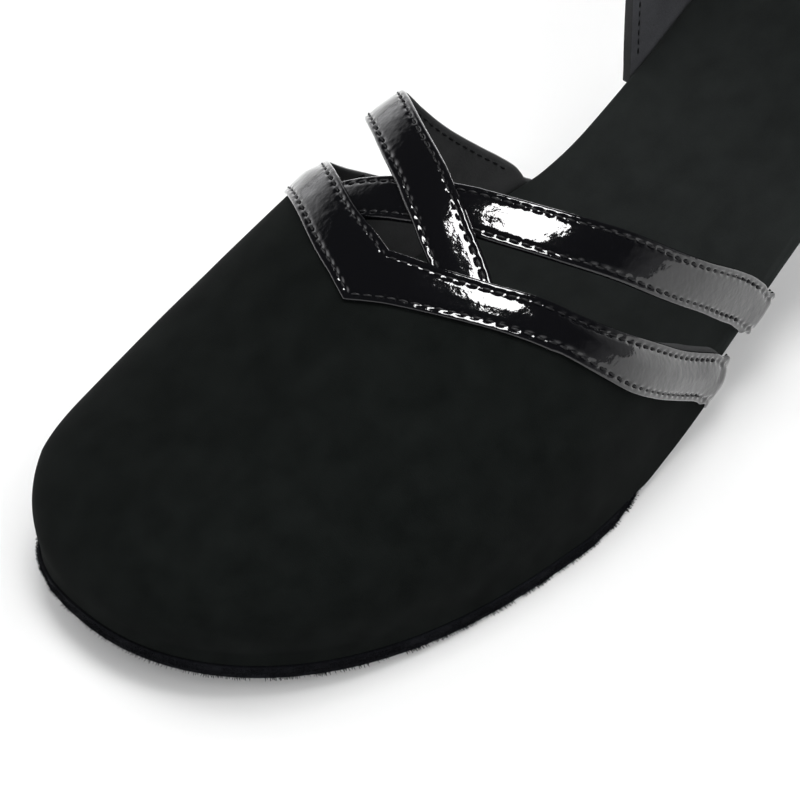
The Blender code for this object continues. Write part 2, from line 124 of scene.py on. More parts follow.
def placeCamera():
    azimuth, elevation, roll = (math.radians(view[k]) for k in ("azimuth", "elevation", "roll"))
    back = Vector((math.cos(azimuth) * math.cos(elevation),
                   math.sin(azimuth) * math.cos(elevation), math.sin(elevation)))
    right = (-back).cross(Vector((0, 0, 1))).normalized()
    up = right.cross(-back)
    turnedRight = right * math.cos(roll) + up * math.sin(roll)
    turnedUp = up * math.cos(roll) - right * math.sin(roll)
    lens = bpy.data.cameras.new("photoCamera")
    lens.sensor_width = view["sensor"]
    lens.sensor_fit = "HORIZONTAL"
    lens.lens = view["sensor"] * view["pixelsPerMm"] * view["distance"] / mm / view["pixels"]
    lens.clip_start = 0.01
    camera = bpy.data.objects.new("photoCamera", lens)
    place = Vector(view["target"]) + back * view["distance"]
    camera.matrix_world = axesAt(turnedRight, turnedUp, back, place)
    addObject(camera)
    bpy.context.scene.camera = camera


def layFloor():
    bpy.ops.object.select_all(action="DESELECT")
    bpy.ops.mesh.primitive_plane_add(size=studio["floorSize"], location=(0, 0, 0))
    floor = bpy.context.object
    floor.name = "floor"
    material, _ = startMaterial("paleFloor", studio["floorColour"], studio["floorRoughness"],
                                studio["floorSpecular"])
    floor.data.materials.append(material)


def softLight(name, location, size, power):
    lamp = bpy.data.lights.new(name, "AREA")
    lamp.shape = "RECTANGLE"
    lamp.size, lamp.size_y = size
    lamp.energy = power
    light = bpy.data.objects.new(name, lamp)
    light.location = location
    aim = Vector(studio["aim"]) - Vector(location)
    light.rotation_euler = aim.to_track_quat("-Z", "Y").to_euler()
    addObject(light)
    return light


def lightStudio():
    world = bpy.data.worlds.new("studioSky")
    bpy.context.scene.world = world
    world.use_nodes = True
    nodes = world.node_tree.nodes
    links = world.node_tree.links
    direction = nodes.new("ShaderNodeTexCoord").outputs["Generated"]
    split = nodes.new("ShaderNodeSeparateXYZ")
    links.new(direction, split.inputs[0])
    sky = addRamp(world, split.outputs["Z"], studio["skyFade"], studio["skyLow"], studio["skyHigh"])
    towards = nodes.new("ShaderNodeVectorMath")
    towards.operation = "DOT_PRODUCT"
    towards.inputs[1].default_value = studio["darkSide"]
    links.new(direction, towards.inputs[0])
    unlit = nodes.new("ShaderNodeMapRange")
    unlit.inputs["From Min"].default_value = studio["darkFade"][0]
    unlit.inputs["From Max"].default_value = studio["darkFade"][1]
    unlit.inputs["To Max"].default_value = studio["darkShare"]
    links.new(towards.outputs["Value"], unlit.inputs["Value"])
    sky = addFade(world, unlit.outputs["Result"], sky, studio["skyHigh"])
    rays = nodes.new("ShaderNodeLightPath")   # a camera sees an even backdrop
    seen = addFade(world, rays.outputs["Is Camera Ray"], sky, studio["backdrop"])
    links.new(seen, nodes["Background"].inputs["Color"])
    place, size = studio["boxPlace"], studio["boxSize"]
    softLight("overheadBox", place, size, studio["boxGlow"]).visible_diffuse = False
    softLight("overheadLamp", place, size, studio["overheadPower"]).visible_glossy = False
    size = (studio["fillSize"], studio["fillSize"])
    for index, power in enumerate(studio["fillPowers"]):
        heading = math.radians(view["azimuth"] + studio["fillTurn"] + 90 * index)
        place = (studio["fillDistance"] * math.cos(heading),
                 studio["fillDistance"] * math.sin(heading), studio["fillHeight"])
        softLight("fill%d" % index, place, size, power).visible_glossy = False
    bpy.context.scene.view_settings.view_transform = "Standard"


placeCamera()
layFloor()
lightStudio()
print("camera, floor and light placed")

# Finishes

nap = {
    "fineDetail": 4.0,
    "broad": 0.035,           # scale of the broad nap, as a share of the fine one's
    "broadDetail": 2.0,
    "broadShare": 0.45,
    "contrast": (0.34, 0.66),
    "sheenRoughness": 0.45,
    "bump": 0.5,
}

patent = {
    "colour": (0.0022, 0.0022, 0.0028),
    "roughness": 0.12,
    "specular": 0.1,
    "coatRoughness": 0.02,
    # scale, strength and depth in mm of its slow waves and of its fine peel
    "waves": ((260, 0.55, 0.27), (1300, 0.40, 0.08)),
    "waveDetail": 2.0,
}


def addNoise(material, scale, detail):
    nodes = material.node_tree.nodes
    coordinates = nodes.new("ShaderNodeTexCoord")
    noise = nodes.new("ShaderNodeTexNoise")
    noise.inputs["Scale"].default_value = scale
    noise.inputs["Detail"].default_value = detail
    material.node_tree.links.new(coordinates.outputs["Object"], noise.inputs["Vector"])
    return noise.outputs["Fac"]


def addBump(material, shader, source, strength, depth, before=None):
    bump = material.node_tree.nodes.new("ShaderNodeBump")
    links = material.node_tree.links
    bump.inputs["Strength"].default_value = strength
    bump.inputs["Distance"].default_value = depth
    links.new(source, bump.inputs["Height"])
    if before is not None:
        links.new(before, bump.inputs["Normal"])
    links.new(bump.outputs["Normal"], shader.inputs["Normal"])
    return bump.outputs["Normal"]


def makeNap(name, dark, light, roughness, sheen, grain, depth, specular=0.03):
    # A brushed surface: two sizes of nap in its colour, and the fine one in its bump.
    material, shader = startMaterial(name, dark, roughness, specular)
    fine = addNoise(material, grain, nap["fineDetail"])
    broad = addNoise(material, grain * nap["broad"], nap["broadDetail"])
    links = material.node_tree.links
    mix = material.node_tree.nodes.new("ShaderNodeMix")
    mix.data_type = "FLOAT"
    mix.inputs[0].default_value = nap["broadShare"]
    links.new(fine, mix.inputs[2])
    links.new(broad, mix.inputs[3])
    colour = addRamp(material, mix.outputs[0], nap["contrast"], dark, light)
    links.new(colour, shader.inputs["Base Color"])
    shader.inputs["Sheen Weight"].default_value = sheen
    shader.inputs["Sheen Roughness"].default_value = nap["sheenRoughness"]
    addBump(material, shader, fine, nap["bump"], depth * mm)
    return material


def makePatent(name):
    material, shader = startMaterial(name, patent["colour"], patent["roughness"],
                                     patent["specular"])
    shader.inputs["Coat Weight"].default_value = 1.0
    shader.inputs["Coat Roughness"].default_value = patent["coatRoughness"]
    normal = None
    for scale, strength, depth in patent["waves"]:
        noise = addNoise(material, scale, patent["waveDetail"])
        normal = addBump(material, shader, noise, strength, depth * mm, normal)
    material.node_tree.links.new(normal, shader.inputs["Coat Normal"])
    return material


black = ((0.0026, 0.0032, 0.0030), (0.0059, 0.0070, 0.0066))

# name, colours from and to, roughness, sheen, scale of the grain, bump in mm, specular
finish = {
    "nubuck": makeNap("blackNubuck", *black, 0.95, 0.008, 5200, 0.06),
    "patent": makePatent("blackPatent"),
    "suede": makeNap(
        "soleSuede", (0.0026, 0.0028, 0.0035), (0.0080, 0.0085, 0.0104), 0.97, 0.02, 2600, 0.3),
    "sock": makeNap(
        "insoleCover", (0.0104, 0.0117, 0.0114), (0.0168, 0.0189, 0.0184), 0.92, 0.02, 6000, 0.05),
    "lining": makeNap(
        "upperLining", (0.026, 0.0265, 0.027), (0.046, 0.047, 0.048), 0.85, 0.03, 4500, 0.05),
    "cupLining": makeNap(
        "counterLining", (0.046, 0.047, 0.051), (0.080, 0.082, 0.089), 0.85, 0.03, 4500, 0.05),
    "thread": makeNap(
        "blackThread", (0.0035, 0.0035, 0.004), (0.008, 0.008, 0.009), 0.48, 0.0, 9000, 0.03, 0.25),
    "cover": makeNap("heelCover", *black, 0.93, 0.008, 5200, 0.06),
    "rubber": makeNap(
        "tipRubber", (0.006, 0.006, 0.006), (0.011, 0.011, 0.011), 0.65, 0.0, 2500, 0.05),
}
print("finishes made")

# The foot that the upper is shaped over, from the part's own sizes

foot = {
    "toeReach": 76.5 * mm,
    "seatReach": 154.0 * mm,
    "counterReach": 72.0 * mm,
    "breastReach": 100.0 * mm,
    "innerBall": 37.2 * mm,
    "outerBall": 36.4 * mm,
    "toeSwing": -6.5 * mm,
    "sideBulge": 4.3 * mm,
    "bulgeFade": 12 * mm,     # it fades out this far from the toe's end
    "bulgeTurn": 2.2,         # it ends at 1 / 2.2 of the half way round
    "toeSpring": 8.0 * mm,
    "seatRise": 52.0 * mm,
    "crownBall": 45.0 * mm,
    "toeHeight": 18.6 * mm,
    "counterHeight": 52.0 * mm,
    "counterSide": 45.0 * mm,
    "outsoleThick": 2.7 * mm,
    "insoleThick": 3.0 * mm,
    "vampWall": 1.8 * mm,
    "counterWall": 2.0 * mm,
    "gap": 0.3 * mm,
    "soleTuck": 2.6 * mm,
    "soleMargin": 0.35 * mm,
    "toeRoundInner": (2.3, 0.445),
    "toeRoundOuter": (3.0, 0.40),
    "toeClose": (0.7, 2.2),   # the crown closes from this share of toeReach, and how roundly
    "seatRound": 2.4,
    "crownRound": 0.847,
    "sideRound": 0.95,
    "ridgeLean": -0.06,       # the ridge leans to the inner side, as a share of innerBall
    "ridgeFade": 60 * mm,
    "edgeWay": 100 * mm,      # past the feather line, what a whole way round would measure
    "edgeRoll": 0.7 * mm,
    # share of seatReach, shares of innerBall, outerBall and sideBulge
    "planBehind": (
        (0.0, 1.0, 1.0, 1.0), (0.065, 0.975, 0.964, 0.9), (0.13, 0.912, 0.908, 0.72),
        (0.195, 0.838, 0.858, 0.52), (0.279, 0.75, 0.805, 0.36), (0.325, 0.682, 0.78, 0.3),
        (0.39, 0.646, 0.746, 0.25), (0.468, 0.638, 0.724, 0.25), (0.584, 0.652, 0.724, 0.25),
        (0.682, 0.68, 0.73, 0.25), (0.779, 0.69, 0.724, 0.25)),
    # share of seatReach, share of seatRise
    "riseBehind": (
        (-0.065, 0.0), (0.052, 0.0), (0.162, 0.042), (0.325, 0.24), (0.487, 0.5), (0.649, 0.76),
        (0.747, 0.885), (0.844, 0.952), (1.0, 1.0)),
    # share of toeReach, shares of toeHeight and crownBall
    "crownFront": (
        (1.0, 0.88, 0.0), (0.75, 1.03, 0.0), (0.35, 0.48, 0.52), (0.0, 0.0, 1.0)),
    # share of seatReach, share of crownBall
    "crownBehind": (
        (0.162, 1.211), (0.325, 1.4), (1.0, 1.6)),
    # share of seatReach behind the ball, shares of soleTuck and of the margin round the toe
    "waistTuck": (
        (-0.5, 0.0, 1.0), (0.026, 0.0, 1.0), (0.104, 0.0, 0.4), (0.195, -0.385, 0.0),
        (0.292, -0.923, 0.0), (0.65, -1.0, 0.0)),
}
soleLevel = foot["outsoleThick"] + foot["gap"] + foot["insoleThick"]
soleOver = foot["vampWall"] + foot["soleMargin"]   # the outsole round the toe, past the foot


def column(table, index, size=1.0):
    return np.array([row[index] for row in table]) * size


def smoothTable(at, values, x):
    # A curve through a table that never overshoots, flat outside it.
    order = np.argsort(at)
    at, values = at[order], values[order]
    step = np.diff(at)
    slope = np.diff(values) / step
    same = slope[:-1] * slope[1:] > 0
    before = 2 * step[1:] + step[:-1]
    after = step[1:] + 2 * step[:-1]
    share = before / np.where(same, slope[:-1], 1.0) + after / np.where(same, slope[1:], 1.0)
    lean = np.where(same, (before + after) / share, 0.0)
    lean = np.concatenate([slope[:1], lean, slope[-1:]])
    x = np.clip(x, at[0], at[-1])
    i = np.clip(np.searchsorted(at, x, side="right") - 1, 0, len(step) - 1)
    t = (x - at[i]) / step[i]
    flat = (2 * t**3 - 3 * t**2 + 1) * values[i] + (3 * t**2 - 2 * t**3) * values[i + 1]
    return flat + step[i] * ((t**3 - 2 * t**2 + t) * lean[i] + (t**3 - t**2) * lean[i + 1])


def lookUp(table, index, x, size=1.0, reach=1.0):
    return smoothTable(column(table, 0, reach), column(table, index, size), x)


def ease(x, start, end):
    t = np.clip((x - start) / (end - start), 0, 1)
    return t * t * (3 - 2 * t)


def rise(x):
    start = -foot["riseBehind"][0][0] * foot["seatReach"]
    ahead = np.clip((x - start) / (foot["toeReach"] - start), 0, None)
    behind = lookUp(foot["riseBehind"], 1, -x, foot["seatRise"], foot["seatReach"])
    return soleLevel + np.where(x > 0, foot["toeSpring"] * ahead**2, behind)


def halfWidth(x, side):
    ball = foot["innerBall"] if side < 0 else foot["outerBall"]
    power, fullness = foot["toeRoundInner"] if side < 0 else foot["toeRoundOuter"]
    front = ball * (1 - np.clip(x / foot["toeReach"], 0, 1) ** power) ** fullness
    behind = lookUp(foot["planBehind"], 1 if side < 0 else 2, -x, ball, foot["seatReach"])
    end = foot["planBehind"][-1][0] * foot["seatReach"]
    closing = np.clip((-x - end) / (foot["seatReach"] - end), 0, 1)
    return np.where(x > 0, front, behind * (1 - closing ** foot["seatRound"]) ** 0.5)


def centre(x):
    return foot["toeSwing"] * np.clip(x / foot["toeReach"], 0, 1) ** 2


def bulge(x):
    behind = lookUp(foot["planBehind"], 3, -x, foot["sideBulge"], foot["seatReach"])
    return behind * np.clip((foot["toeReach"] - x) / foot["bulgeFade"], 0, 1) ** 0.5


def crown(x):
    front, rear = foot["crownFront"], foot["crownBehind"]
    at = [column(front, 0, foot["toeReach"]), -column(rear, 0, foot["seatReach"])]
    high = [column(front, 1, foot["toeHeight"]) + column(front, 2, foot["crownBall"]),
            column(rear, 1, foot["crownBall"])]
    start, power = foot["toeClose"]
    closing = np.clip((x / foot["toeReach"] - start) / (1 - start), 0, 1)
    shut = np.sqrt(np.clip(1 - closing**power, 0, 1))
    return smoothTable(np.concatenate(at), np.concatenate(high), x) * shut


def pastFeather(way):
    return np.maximum(-way, way - 1).clip(0)


def footPoint(x, way):
    # way runs from the inner feather line (0) over the ridge (0.5) to the outer one (1). Past
    # either end it goes down the insole's edge and then turns in under it.
    x, way = np.broadcast_arrays(x, way)
    x = np.clip(x, None, foot["toeReach"])
    inside = np.clip(way, 0, 1)
    side = np.where(way < 0.5, -1.0, 1.0)
    turn = np.where(way < 0.5, inside, 1 - inside) * math.pi
    wide = np.where(way < 0.5, halfWidth(x, -1), halfWidth(x, 1))
    up = np.abs(np.sin(turn)) ** foot["crownRound"]
    swell = bulge(x) * np.sin(np.clip(foot["bulgeTurn"] * turn, 0, math.pi))
    fade = np.clip((foot["toeReach"] - x) / foot["ridgeFade"], 0, 1)
    ridge = foot["ridgeLean"] * foot["innerBall"] * up * fade
    past = pastFeather(way) * foot["edgeWay"]
    down = np.minimum(past, foot["insoleThick"])
    out = wide * np.abs(np.cos(turn)) ** foot["sideRound"] + swell - (past - down)
    return np.stack([x, centre(x) + side * out + ridge, rise(x) + crown(x) * up - down], -1)


def footNormal(x, way):
    x, way = np.broadcast_arrays(x, way)
    near, turned = 0.2 * mm, 0.002
    front = np.minimum(x + near, foot["toeReach"] - 1e-6)
    inside = np.clip(way, 2 * turned, 1 - 2 * turned)
    across = footPoint(x, inside + turned) - footPoint(x, inside - turned)
    normal = np.cross(footPoint(front, way) - footPoint(x - near, way), across)
    normal /= np.linalg.norm(normal, axis=-1, keepdims=True) + 1e-12
    middle = np.stack([x, centre(x), rise(x) + 3 * mm], -1)
    outwards = np.sign(np.sum(normal * (footPoint(x, inside) - middle), -1))[..., None]
    normal = normal * np.where(outwards == 0, 1, outwards)
    # on the insole's edge it is square to the feather line, and rolls to point down
    past = pastFeather(way) * foot["edgeWay"]
    roll = (past - foot["insoleThick"] + foot["edgeRoll"]) / (2 * foot["edgeRoll"])
    lean = np.clip(roll, 0, 1) * math.pi / 2
    feather = np.where(way < 0.5, 0.0, 1.0)
    slope = (footPoint(x + near, feather) - footPoint(x - near, feather))[..., 1] / (2 * near)
    level = np.where(way < 0.5, -1.0, 1.0) / np.sqrt(1 + slope**2)
    flat = np.stack([-slope * level * np.cos(lean), level * np.cos(lean), -np.sin(lean)], -1)
    return np.where((past > 0)[..., None], flat, normal)


# Modelling helpers


def leaveEdit():
    if bpy.context.mode != "OBJECT":
        bpy.ops.object.mode_set(mode="OBJECT")


def startPiece():
    leaveEdit()
    bpy.ops.object.select_all(action="DESELECT")


def selectOnly(piece):
    startPiece()
    piece.select_set(True)
    bpy.context.view_layer.objects.active = piece


def editAll(piece):
    selectOnly(piece)
    bpy.ops.object.mode_set(mode="EDIT")
    bpy.ops.mesh.select_all(action="SELECT")


def joinPieces(parts):
    # Joins the parts to the first one.
    startPiece()
    for part in parts:
        part.select_set(True)
    bpy.context.view_layer.objects.active = parts[0]
    bpy.ops.object.join()
    return bpy.context.object


def stampCopies(shape, turns):
    # A copy of a shape for each matrix, joined, without the shape itself.
    copies = []
    for turn in turns:
        copy = shape.copy()
        copy.data = shape.data.copy()
        copy.data.transform(turn)
        addObject(copy)
        copies.append(copy)
    bpy.data.objects.remove(shape)
    return joinPieces(copies)


def gridIndex(share, count):
    return np.rint(share * (count - 1)).astype(int)


def wrapGrid(name, columns, rows, place, second=()):
    # A flat grid laid over a form: place takes the shares along and across it and gives each
    # point. The stretches across that second lists take the second material.
    startPiece()
    bpy.ops.mesh.primitive_grid_add(x_subdivisions=columns, y_subdivisions=rows, size=2,
                                    location=(0, 0, 0))
    piece = bpy.context.object
    piece.name = name
    for face in piece.data.polygons:
        across = face.center.y / 2 + 0.5
        face.material_index = int(any(low < across < high for low, high in second))
    flat = np.array([vertex.co[:2] for vertex in piece.data.vertices]) / 2 + 0.5
    points = place(flat[:, 0], flat[:, 1])
    piece.data.vertices.foreach_set("co", points.ravel())
    piece.data.update()
    return piece


def shadeSmooth(piece, degrees=50):
    selectOnly(piece)
    bpy.ops.object.shade_smooth_by_angle(angle=math.radians(degrees))


def closeUp(piece, degrees=60):
    # Merges the seam, closes the ends and turns the faces outwards.
    editAll(piece)
    bpy.ops.mesh.remove_doubles(threshold=0.002 * mm)
    bpy.ops.mesh.select_mode(type="EDGE")
    bpy.ops.mesh.select_all(action="DESELECT")
    bpy.ops.mesh.select_non_manifold(extend=False, use_wire=False, use_multi_face=False,
                                     use_non_contiguous=False, use_verts=False)
    bpy.ops.mesh.fill(use_beauty=False)
    bpy.ops.mesh.select_all(action="SELECT")
    bpy.ops.mesh.normals_make_consistent(inside=False)
    leaveEdit()
    shadeSmooth(piece, degrees)


def turnOutwards(piece, middle):
    middle = Vector(middle)
    if sum(face.normal.dot(face.center - middle) * face.area for face in piece.data.polygons) < 0:
        piece.data.flip_normals()


def thicken(piece, wall, rim):
    # A wall outwards from a shell, the second material inside it.
    solid = piece.modifiers.new("Wall", "SOLIDIFY")
    solid.thickness = wall
    solid.offset = 1.0
    solid.material_offset = 1
    solid.material_offset_rim = rim
    return solid


def bevelEdges(piece, width, segments, degrees):
    edge = piece.modifiers.new("Edge", "BEVEL")
    edge.width = width
    edge.segments = segments
    edge.limit_method = "ANGLE"
    edge.angle_limit = math.radians(degrees)


def applyAll(piece):
    selectOnly(piece)
    for modifier in list(piece.modifiers):
        bpy.ops.object.modifier_apply(modifier=modifier.name)
    shadeSmooth(piece)


def dress(piece, *materials):
    kept = [min(face.material_index, len(materials) - 1) for face in piece.data.polygons]
    piece.data.materials.clear()
    for material in materials:
        piece.data.materials.append(finish[material])
    piece.data.polygons.foreach_set("material_index", kept)


def settle(piece, slot, *materials):
    dress(piece, *materials)
    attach(piece, "root")


# Stitches and straps in general

stitch = {
    "pitch": 2.2 * mm,
    "length": 1.75 * mm,
    "thick": 0.42 * mm,
    "bend": 0.14 * mm,
    "inset": 1.25 * mm,       # from the edge of a strap
    "proud": 0.10 * mm,       # over the bottom of its groove
    "clear": 0.02 * mm,       # over a plain face
    "margin": 0.1 * mm,       # left free at each end of a row
    "grooveWide": 0.42 * mm,
    "pucker": 0.7,            # how much deeper and shallower a groove gets from stitch to stitch
}


def lengthAlong(line):
    return np.concatenate([[0], np.cumsum(np.linalg.norm(np.diff(line, axis=0), axis=1))])


def pointAt(line, length, at):
    return np.stack([np.interp(at, length, line[:, k]) for k in range(3)], -1)


def meetPoints(line, normals):
    # Even steps along a line of points: places, headings and normals.
    length = lengthAlong(line)
    pitch, margin = stitch["pitch"], stitch["margin"]
    room = length[-1] - 2 * margin
    count = max(int(room / pitch), 1)
    at = margin + (room - (count - 1) * pitch) / 2 + np.arange(count) * pitch
    ahead = pointAt(line, length, at + 0.3 * pitch) - pointAt(line, length, at - 0.3 * pitch)
    return list(zip(pointAt(line, length, at), ahead, pointAt(normals, length, at)))


def sewStitches(name, slot, places):
    # One grain of thread, drawn out from a sphere and copied to every place.
    startPiece()
    bpy.ops.mesh.primitive_uv_sphere_add(segments=8, ring_count=6, radius=0.5,
                                         location=(0, 0, 0), rotation=(0, math.pi / 2, 0))
    grain = bpy.context.object
    bpy.ops.object.transform_apply(rotation=True)
    editAll(grain)
    bpy.ops.transform.resize(value=(stitch["length"], stitch["thick"], stitch["thick"]))
    leaveEdit()
    for vertex in grain.data.vertices:
        share = vertex.co.x / (stitch["length"] / 2)
        vertex.co.z -= stitch["bend"] * share**2
    bpy.ops.object.shade_smooth()
    turns = []
    for place, ahead, normal in places:
        forward = Vector(ahead).normalized()
        up = (Vector(normal) - forward * Vector(normal).dot(forward)).normalized()
        turns.append(axesAt(forward, up.cross(forward), up, Vector(place)))
    thread = stampCopies(grain, turns)
    thread.name = name
    settle(thread, slot, "thread")


def strapSection(strap):
    # Points round a strap's section from the middle of its lining: side, distance in from the
    # edge, share of the rest of the way to the middle, height, and 1 on its outer face.
    thick, roll, inset = strap["thick"], strap["roll"], stitch["inset"]
    half = [(roll, share, 0.0, 0) for share in (1.0, 0.66, 0.33)]
    for turn in np.linspace(-90, 90, 9):
        angle = math.radians(turn)
        half.append((roll * (1 - math.cos(angle)), 0.0, thick / 2 * (1 + math.sin(angle)), 0))
    half += [(distance, 0.0, thick, 1) for distance in np.linspace(roll, 2 * inset, 9)[1:]]
    half += [(2 * inset, share, thick, 1) for share in (0.18, 0.38, 0.60, 0.80, 1.0)]
    rows = np.array([(1.0, *row) for row in half] + [(-1.0, *row) for row in half[-2::-1]])
    side, distance, share, height, outer = rows.T
    hollow = np.exp(-(((distance - inset) / stitch["grooveWide"]) ** 2)) * (share == 0)
    rounded = ease(distance, inset, 2 * inset) * (0.6 + 0.4 * share)
    lining = 5.5 / (len(side) - 1)   # five and a half steps from each end lie on the lining
    return {"side": side, "distance": distance, "share": share,
            "height": height + outer * strap["puff"] * rounded,
            "dip": outer * strap["groove"] * hollow, "lining": ((0, lining), (1 - lining, 1))}


def acrossStrap(section, v, half, length):
    # How far out and how high the section's points lie, drawn in at each stitch.
    k = gridIndex(v, len(section["side"]))
    out = section["side"][k] * (half - section["distance"][k]) * (1 - section["share"][k])
    pucker = 1 + stitch["pucker"] * np.cos(2 * math.pi * length / stitch["pitch"])
    return out, section["height"][k] - section["dip"][k] * pucker


print("helpers ready")

# Throat band

band = {
    "thick": 0.95 * mm,
    "roll": 0.42 * mm,
    "groove": 0.20 * mm,
    "puff": 0.16 * mm,
    "clear": 0.04 * mm,       # over the vamp
    "stations": 211,          # on each arm
    "tail": 0.034,            # past the feather line, down the insole's edge and in under it
    "tailLean": 1.2,
    "sewn": (0.005, 0.5, 0.995),
    "sink": 1.3 * mm,         # the rear edge comes down past the vamp's, away from the straps
    "sinkFrom": (0.17, 0.25),
    "sinkAcross": (0.02, 0.5),
    "sinkInner": 0.5,         # share of the sink on the inner side
    "overhang": 0.28,         # share of its width that reaches back past the vamp's edge
    # its lining shows behind it near its ends
    "lipEnds": ((0.0, 0.13), (0.87, 1.0)),
    "lipStations": 90,
    "lipFade": 0.3,
    # ahead of the band's rear edge and over the vamp, mm
    "lipSection": ((2.5, -0.02), (-0.45, -0.02), (-0.675, -0.1), (-0.75, -0.2),
                   (-0.675, -0.3), (-0.45, -0.38), (2.5, -0.38), (2.5, -0.02)),
    # round the foot, rear edge, front edge as shares of toeReach
    "edges": (
        (0.0, -0.482, -0.377), (0.05, -0.374, -0.262), (0.1, -0.262, -0.139),
        (0.16, -0.157, -0.029), (0.22, -0.09, 0.036), (0.28, -0.042, 0.077), (0.34, 0.002, 0.122),
        (0.42, 0.064, 0.187), (0.5, 0.101, 0.238), (0.56, 0.07, 0.183), (0.62, 0.021, 0.125),
        (0.68, -0.042, 0.062), (0.74, -0.106, 0.0), (0.8, -0.178, -0.06), (0.86, -0.263, -0.132),
        (0.92, -0.361, -0.229), (0.96, -0.44, -0.313), (1.0, -0.534, -0.415)),
}


def bandEdge(way, index):
    inner = [row for row in band["edges"] if row[0] <= 0.5]
    outer = [row for row in band["edges"] if row[0] >= 0.5]
    x = np.where(way < 0.5, *(lookUp(arm, index, way, foot["toeReach"]) for arm in (inner, outer)))
    return x - pastFeather(way) * band["tailLean"] * foot["toeReach"]


def bandX(way, share):
    # share runs from the rear edge (0) to the front edge (1).
    return bandEdge(way, 1) + (bandEdge(way, 2) - bandEdge(way, 1)) * share


def vampTop(way):
    return bandX(way, band["overhang"])


def bandMiddle(way):
    return footPoint(bandX(way, 0.5), way)


def bandPoint(way, share, height):
    sink = band["sink"] * ease(np.abs(way - 0.5), *band["sinkFrom"])
    sink *= (1 - ease(share, *band["sinkAcross"])) * np.where(way < 0.5, band["sinkInner"], 1.0)
    lift = foot["vampWall"] + band["clear"] - sink
    x = bandX(way, share)
    return footPoint(x, way) + footNormal(x, way) * (lift + height)[..., None]


def evenWays(line, start, end, count):
    # Ways that lie evenly along a line over the foot.
    ways = np.linspace(start, end, 1500)
    length = lengthAlong(line(ways))
    return np.interp(np.linspace(0, length[-1], count), length, ways)


def buildLip(start, end):
    # The lining's edge, standing out from under the band's rear edge.
    stations = evenWays(bandMiddle, start, end, band["lipStations"])
    section = np.array(band["lipSection"]) * mm

    def place(u, v):
        ways = stations[gridIndex(u, len(stations))]
        ahead, height = section[gridIndex(v, len(section))].T
        fade = ease(np.minimum(u, 1 - u), 0, band["lipFade"])
        ahead = np.where(ahead < 0, ahead * fade, ahead)
        return bandPoint(ways, ahead / (bandEdge(ways, 2) - bandEdge(ways, 1)), height)

    piece = wrapGrid("lip", len(stations) - 1, len(section) - 1, place, ((0, 1),))
    closeUp(piece)
    dress(piece, "patent", "lining")
    return piece


def buildBand():
    arms = [evenWays(bandMiddle, -band["tail"], 0.5, band["stations"]),
            evenWays(bandMiddle, 0.5, 1 + band["tail"], band["stations"])]
    ways = np.concatenate([arms[0], arms[1][1:]])
    tangents = [np.gradient(bandMiddle(arm), axis=0) for arm in arms]
    tangent = np.concatenate([tangents[0], tangents[1][1:]])
    tangent /= np.linalg.norm(tangent, axis=1, keepdims=True)
    reach = footPoint(bandEdge(ways, 2), ways) - footPoint(bandEdge(ways, 1), ways)
    square = reach - tangent * np.sum(reach * tangent, 1, keepdims=True)
    width = np.linalg.norm(square, axis=1)
    length = lengthAlong(bandMiddle(ways))
    section = strapSection(band)

    def place(u, v):
        i = gridIndex(u, len(ways))
        out, height = acrossStrap(section, v, width[i] / 2, length[i])
        return bandPoint(ways[i], 0.5 + out / width[i], height)

    piece = wrapGrid("throatBand", len(ways) - 1, len(section["side"]) - 1, place,
                     section["lining"])
    closeUp(piece)
    dress(piece, "patent", "lining")
    joinPieces([piece] + [buildLip(*ends) for ends in band["lipEnds"]])
    places = []
    for side in (-1, 1):
        share = 0.5 + side * (0.5 - stitch["inset"] / width)
        for start, end in zip(band["sewn"], band["sewn"][1:]):
            arm = (ways >= start) & (ways <= end)
            height = ways[arm] * 0 + band["thick"] - band["groove"] + stitch["proud"]
            normals = footNormal(bandX(ways[arm], share[arm]), ways[arm])
            places += meetPoints(bandPoint(ways[arm], share[arm], height), normals)
    sewStitches("bandStitches", "patent", places)
    settle(piece, "patent", "patent", "lining")
    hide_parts("throat_band")


buildBand()
print("throat band made")

# Crossing straps

straps = {
    "width": 9.0 * mm,
    "thick": 1.4 * mm,
    "roll": 0.6 * mm,
    "groove": 0.16 * mm,
    "puff": 0.18 * mm,
    "stations": 421,
    "tail": 1.034,            # they go down the insole's edge and in under it
    "tailLean": 0.6,
    "level": (0.38, 0.47),    # from here to here out from the ridge they turn level with the insole
    "flare": 0.84,            # share of the widening that a slanting strap gets there
    "squeeze": 0.05,          # share left of what would run in under the vamp
    "sewn": (0.012, 0.988),
    # how far the inner strap bows off the foot: round the foot, mm
    "bow": (
        (-0.05, 0.0), (0.0, 0.0), (0.08, 0.1), (0.18, 1.4), (0.27, 2.6), (0.4, 1.95), (0.5, 1.42),
        (0.545, 1.15), (0.61, 0.1), (0.7, 0.0)),
    # round the foot, share of toeReach
    "outer": (
        (0.33, 0.098), (0.395, 0.038), (0.44, 0.001), (0.5, -0.038), (0.57, -0.089),
        (0.65, -0.163), (0.73, -0.249), (0.8, -0.331), (0.87, -0.426), (0.94, -0.538),
        (1.0, -0.652)),
    "inner": (
        (0.665, 0.11), (0.605, 0.055), (0.56, 0.018), (0.5, -0.03), (0.41, -0.106),
        (0.33, -0.175), (0.25, -0.236), (0.18, -0.298), (0.11, -0.378), (0.05, -0.464),
        (0.0, -0.558)),
}


def strapX(table, way):
    (before, x0), (end, x1) = table[-2:]
    past = ((way - end) * np.sign(end - before)).clip(0)
    slope = (x1 - x0) * foot["toeReach"] / abs(end - before)
    return lookUp(table, 1, way, foot["toeReach"]) + past * slope * straps["tailLean"]


